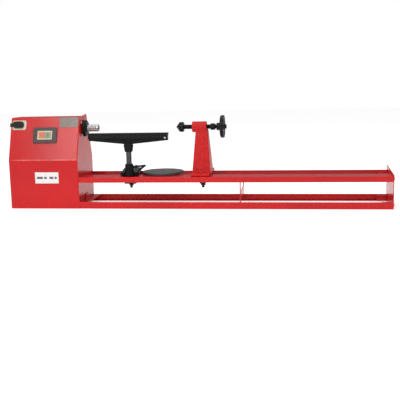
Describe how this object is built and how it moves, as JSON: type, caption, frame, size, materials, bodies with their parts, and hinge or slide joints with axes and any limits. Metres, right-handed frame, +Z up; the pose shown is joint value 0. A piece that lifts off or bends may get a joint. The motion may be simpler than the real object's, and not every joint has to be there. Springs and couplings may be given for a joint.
{
  "type": "wood lathe",
  "caption": "Bench wood lathe with a sheet-metal headstock, a bed of angle rails, a banjo tool rest, a screw-feed tailstock with a turning centre and a loose faceplate.",
  "frame": {"origin": "on the bench, in the spindle's vertical plane, at the middle of the headstock's foot", "axes": "+X along the bed towards the tailstock, +Y away from the operator, +Z up"},
  "size_m": [1.413, 0.2098, 0.344],
  "materials": {
    "red_sheet": "gloss red powder coat",
    "grey_sheet": "satin grey paint",
    "red_casting": "rough cast, red paint",
    "black_casting": "black paint on a rough casting",
    "black_plastic": "fine grain",
    "cream_plastic": "smooth",
    "red_plastic": "smooth",
    "green_plastic": "smooth",
    "plated_steel": "zinc plated",
    "bright_steel": "ground",
    "dark_steel": "blackened",
    "grey_iron": "turned face",
    "aluminium": "die cast",
    "belt_rubber": "fabric faced",
    "core_steel": "laminated",
    "label_print": "printed"
  },
  "bodies": {
    "bed": {"headstock_casing": "red_sheet", "headstock_side_plate": "red_sheet", "headstock_base_plate": "grey_sheet", "hinge_leaf_fixed": "plated_steel", "switch_bezel": "black_plastic", "switch_insert": "cream_plastic", "switch_box": "black_plastic", "catch_frame": "cream_plastic", "label_plates": "label_print", "cable_gland": "black_plastic", "spindle_housing": "grey_iron", "spindle_bearings": "bright_steel", "bearing_cap": "black_casting", "flange_bolts": "plated_steel", "pivot_rod": "plated_steel", "run_capacitor": "black_plastic", "drive_belt": "belt_rubber", "front_upper_rail": "red_sheet", "rear_upper_rail": "red_sheet", "front_lower_rail": "red_sheet", "rear_lower_rail": "red_sheet", "headstock_tie": "red_sheet", "tail_end_plate": "red_sheet", "mid_bracket": "red_sheet", "corner_brackets": "red_sheet", "end_bolts": "plated_steel"},
    "pulley_door": {"pulley_door": "red_sheet", "hinge_leaf_door": "plated_steel"},
    "door_catch": {"door_catch": "black_plastic"},
    "start_button": {"start_button": "green_plastic"},
    "stop_button": {"stop_button": "red_plastic"},
    "motor": {"motor_can": "grey_sheet", "motor_end_bells": "aluminium", "motor_stator": "core_steel", "motor_bearings": "bright_steel", "motor_plate": "grey_sheet"},
    "rotor": {"motor_rotor": "core_steel", "motor_fan": "black_plastic", "motor_pulley": "aluminium"},
    "spindle": {"spindle": "bright_steel", "spindle_pulley": "aluminium"},
    "rest_clamp": {"rest_clamp_bolt": "dark_steel", "rest_clamp_plate": "black_casting"},
    "rest_clamp_nut": {"rest_clamp_nut": "dark_steel"},
    "slot_block": {"slot_block": "dark_steel"},
    "banjo": {"banjo": "black_casting"},
    "rest_post": {"rest_post": "dark_steel"},
    "tool_rest": {"tool_rest": "black_casting"},
    "lock_lever": {"lock_lever": "dark_steel"},
    "faceplate": {"faceplate": "grey_iron"},
    "tailstock": {"tailstock_casting": "red_casting", "tail_clamp_bolt": "dark_steel", "tail_clamp_plate": "black_casting"},
    "tail_clamp_nut": {"tail_clamp_nut": "dark_steel"},
    "live_centre": {"live_centre_housing": "dark_steel"},
    "tail_screw": {"tail_screw": "dark_steel", "handwheel": "black_plastic", "acorn_nut": "dark_steel"},
    "tail_lock_nut": {"tail_lock_nut": "dark_steel"},
    "centre_point": {"centre_point": "dark_steel"}
  },
  "joints": [
    {"name": "door_hinge", "type": "hinge", "parent": "bed", "child": "pulley_door", "pos_m": [-0.138, 0.102, 0.105], "axis": [0, 0, -1], "range_deg": [0, 110]},
    {"name": "catch_slide", "type": "slide", "parent": "bed", "child": "door_catch", "axis": [1, 0, 0], "range_m": [0, 0.008]},
    {"name": "start_press", "type": "slide", "parent": "bed", "child": "start_button", "axis": [0, 0.9424, -0.3344], "range_m": [0, 0.003], "stiffness_N_per_m": 300, "springref_m": -0.002},
    {"name": "stop_press", "type": "slide", "parent": "bed", "child": "stop_button", "axis": [0, 0.9424, -0.3344], "range_m": [0, 0.003], "stiffness_N_per_m": 300, "springref_m": -0.002},
    {"name": "motor_tension", "type": "hinge", "parent": "bed", "child": "motor", "pos_m": [0.02, 0.078, 0.0165], "axis": [-1, 0, 0], "range_deg": [0, 5], "deforming": ["drive_belt"]},
    {"name": "rotor_spin", "type": "hinge", "parent": "motor", "child": "rotor", "pos_m": [0, 0, 0.08], "axis": [1, 0, 0], "continuous": true},
    {"name": "spindle_spin", "type": "hinge", "parent": "bed", "child": "spindle", "pos_m": [0, 0, 0.292], "axis": [1, 0, 0], "continuous": true},
    {"name": "rest_along_bed", "type": "slide", "parent": "bed", "child": "rest_clamp", "axis": [1, 0, 0], "range_m": [-0.012, 0.004]},
    {"name": "rest_nut_turn", "type": "hinge", "parent": "rest_clamp", "child": "rest_clamp_nut", "pos_m": [0.308, 0, 0.078], "axis": [0, 0, 1], "range_deg": [0, 720]},
    {"name": "banjo_swing", "type": "hinge", "parent": "rest_clamp", "child": "slot_block", "pos_m": [0.308, 0, 0.125], "axis": [0, 0, 1], "range_deg": [-20, 14]},
    {"name": "banjo_across", "type": "slide", "parent": "slot_block", "child": "banjo", "axis": [-0.1392, 0.9903, 0], "range_m": [-0.041, 0.002]},
    {"name": "rest_lift", "type": "slide", "parent": "banjo", "child": "rest_post", "axis": [0, 0, 1], "range_m": [-0.014, 0.01]},
    {"name": "rest_swivel", "type": "hinge", "parent": "rest_post", "child": "tool_rest", "pos_m": [0.31663, -0.0614, 0.231], "axis": [0, 0, 1], "range_deg": [-135, 180]},
    {"name": "lock_lever_turn", "type": "hinge", "parent": "banjo", "child": "lock_lever", "pos_m": [0.31663, -0.0614, 0.152], "axis": [0.9903, 0.1392, 0], "range_deg": [-90, 90]},
    {"name": "faceplate_lift", "type": "slide", "parent": "bed", "child": "faceplate", "axis": [0, 0, -1], "range_m": [-0.1, 0]},
    {"name": "tailstock_along_bed", "type": "slide", "parent": "bed", "child": "tailstock", "axis": [1, 0, 0], "range_m": [-0.04, 0.62]},
    {"name": "tail_nut_turn", "type": "hinge", "parent": "tailstock", "child": "tail_clamp_nut", "pos_m": [0.583, 0, 0.078], "axis": [0, 0, 1], "range_deg": [0, 720]},
    {"name": "centre_advance", "type": "slide", "parent": "tailstock", "child": "live_centre", "axis": [-1, 0, 0], "range_m": [-0.03, 0.01]},
    {"name": "handwheel_turn", "type": "hinge", "parent": "live_centre", "child": "tail_screw", "pos_m": [0.669, 0, 0.292], "axis": [-1, 0, 0], "range_deg": [-3600, 1200]},
    {"name": "lock_nut_turn", "type": "hinge", "parent": "live_centre", "child": "tail_lock_nut", "pos_m": [0.6155, 0, 0.292], "axis": [-1, 0, 0], "range_deg": [-360, 360]},
    {"name": "centre_spin", "type": "hinge", "parent": "live_centre", "child": "centre_point", "pos_m": [0.487, 0, 0.292], "axis": [1, 0, 0], "continuous": true}
  ],
  "couplings": [
    {"joint": "spindle_spin", "follows": "rotor_spin", "ratio": 0.55405},
    {"joint": "centre_advance", "follows": "handwheel_turn", "m_per_rad": 0.00047746}
  ]
}
